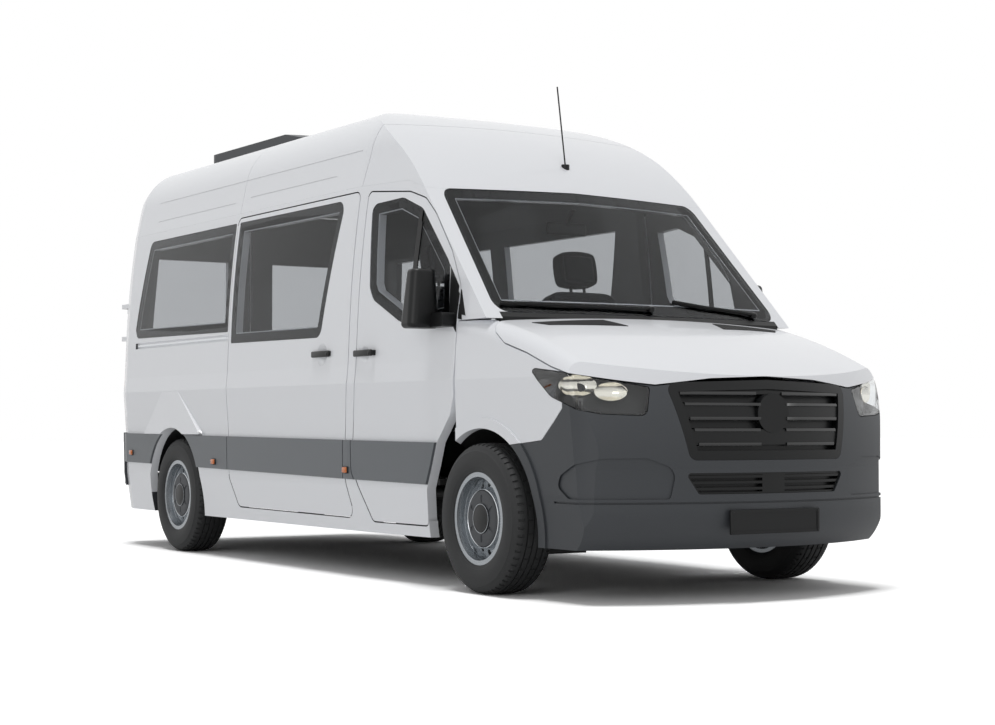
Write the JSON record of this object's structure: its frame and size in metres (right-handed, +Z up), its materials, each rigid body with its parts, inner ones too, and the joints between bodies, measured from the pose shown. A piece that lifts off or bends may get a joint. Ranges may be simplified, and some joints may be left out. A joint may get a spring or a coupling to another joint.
{
  "type": "high-roof window van",
  "caption": "High-roof van with sloping nose, large side windows, sliding side door, twin rear doors, steered front wheels and a roof-mounted air unit.",
  "frame": {"origin": "on the ground under the middle of the van's bounding box", "axes": "+X forward, +Y to the van's left, +Z up"},
  "size_m": [5.7895, 2.2568, 2.6718],
  "materials": {
    "paint_white": "gloss white paint",
    "grey_plastic": "grained dark grey plastic",
    "black_plastic": "black plastic",
    "grey_moulding": "mid grey moulded strip",
    "glass": "tinted glass",
    "clear_lens": "clear lamp lens",
    "red_lens": "red lamp lens",
    "tyre": "black rubber",
    "steel_wheel": "silver paint on steel",
    "chassis": "black chassis paint",
    "cast": "bare cast metal",
    "cabin_plastic": "grained dark cabin plastic",
    "seat_fabric": "dark woven fabric"
  },
  "bodies": {
    "body": {"roof": "paint_white", "roof_cap": "paint_white", "side_panel_left": "paint_white", "side_panel_right": "paint_white", "wings": "paint_white", "sliding_door": "paint_white", "windscreen": "glass", "side_glass": "glass", "window_seals": "black_plastic", "scuttle": "black_plastic", "headlamps": "clear_lens", "front_bumper": "grey_plastic", "grille": "black_plastic", "side_mouldings": "grey_moulding", "rear_bumper": "grey_plastic", "tail_lamps": "red_lens", "roof_unit": "grey_plastic", "antenna": "black_plastic", "front_subframe": "chassis", "rear_axle": "cast", "leaf_springs": "chassis", "floor": "chassis", "cab_floor": "chassis", "chassis_rails": "chassis", "wheel_housings": "black_plastic", "engine": "cast", "propshaft": "chassis", "fuel_tank": "black_plastic", "exhaust": "chassis", "dashboard": "cabin_plastic", "seats": "seat_fabric"},
    "front_door_left": {"front_door_left": "paint_white", "front_door_glass_left": "glass", "front_door_seal_left": "black_plastic", "door_moulding_left": "grey_moulding", "mirror_left": "black_plastic"},
    "front_door_right": {"front_door_right": "paint_white", "front_door_glass_right": "glass", "front_door_seal_right": "black_plastic", "door_moulding_right": "grey_moulding", "mirror_right": "black_plastic"},
    "rear_door_left": {"rear_door_left": "paint_white", "rear_door_glass_left": "glass", "rear_door_seal_left": "black_plastic"},
    "rear_door_right": {"rear_door_right": "paint_white", "rear_door_glass_right": "glass", "rear_door_seal_right": "black_plastic"},
    "bonnet": {"bonnet": "paint_white"},
    "steered_left": {"knuckle_left": "cast"},
    "steered_right": {"knuckle_right": "cast"},
    "wheel_front_left": {"tyre_front_left": "tyre", "rim_front_left": "steel_wheel"},
    "wheel_front_right": {"tyre_front_right": "tyre", "rim_front_right": "steel_wheel"},
    "wheel_rear_left": {"tyre_rear_left": "tyre", "rim_rear_left": "steel_wheel"},
    "wheel_rear_right": {"tyre_rear_right": "tyre", "rim_rear_right": "steel_wheel"},
    "steering_wheel": {"steering_wheel": "cabin_plastic"}
  },
  "joints": [
    {"name": "front_door_left_hinge", "type": "hinge", "parent": "body", "child": "front_door_left", "pos_m": [1.665, 0.967, 1], "axis": [0, 0, -1], "range_deg": [0, 70]},
    {"name": "front_door_right_hinge", "type": "hinge", "parent": "body", "child": "front_door_right", "pos_m": [1.665, -0.967, 1], "axis": [0, 0, 1], "range_deg": [0, 70]},
    {"name": "rear_door_left_hinge", "type": "hinge", "parent": "body", "child": "rear_door_left", "pos_m": [-2.851, 0.88, 1.3], "axis": [0, 0, -1], "range_deg": [0, 180]},
    {"name": "rear_door_right_hinge", "type": "hinge", "parent": "body", "child": "rear_door_right", "pos_m": [-2.851, -0.88, 1.3], "axis": [0, 0, 1], "range_deg": [0, 180]},
    {"name": "bonnet_hinge", "type": "hinge", "parent": "body", "child": "bonnet", "pos_m": [1.894, 0, 1.345], "axis": [0, -1, 0], "range_deg": [0, 55]},
    {"name": "steer_left", "type": "hinge", "parent": "body", "child": "steered_left", "pos_m": [1.879, 0.77, 0.356], "axis": [0, 0, 1], "range_deg": [-35, 35]},
    {"name": "steer_right", "type": "hinge", "parent": "body", "child": "steered_right", "pos_m": [1.879, -0.77, 0.356], "axis": [0, 0, 1], "range_deg": [-35, 35]},
    {"name": "wheel_front_left_spin", "type": "hinge", "parent": "steered_left", "child": "wheel_front_left", "pos_m": [1.879, 0.856, 0.356], "axis": [0, 1, 0], "continuous": true},
    {"name": "wheel_front_right_spin", "type": "hinge", "parent": "steered_right", "child": "wheel_front_right", "pos_m": [1.879, -0.856, 0.356], "axis": [0, 1, 0], "continuous": true},
    {"name": "wheel_rear_left_spin", "type": "hinge", "parent": "body", "child": "wheel_rear_left", "pos_m": [-1.786, 0.856, 0.356], "axis": [0, 1, 0], "continuous": true},
    {"name": "wheel_rear_right_spin", "type": "hinge", "parent": "body", "child": "wheel_rear_right", "pos_m": [-1.786, -0.856, 0.356], "axis": [0, 1, 0], "continuous": true},
    {"name": "steering_wheel_turn", "type": "hinge", "parent": "body", "child": "steering_wheel", "pos_m": [1.409, 0.41, 1.085], "axis": [-0.8829, 0, 0.4695], "range_deg": [-525, 525]}
  ],
  "couplings": [
    {"joint": "steer_right", "follows": "steer_left", "ratio": 1},
    {"joint": "steering_wheel_turn", "follows": "steer_left", "ratio": 15}
  ]
}
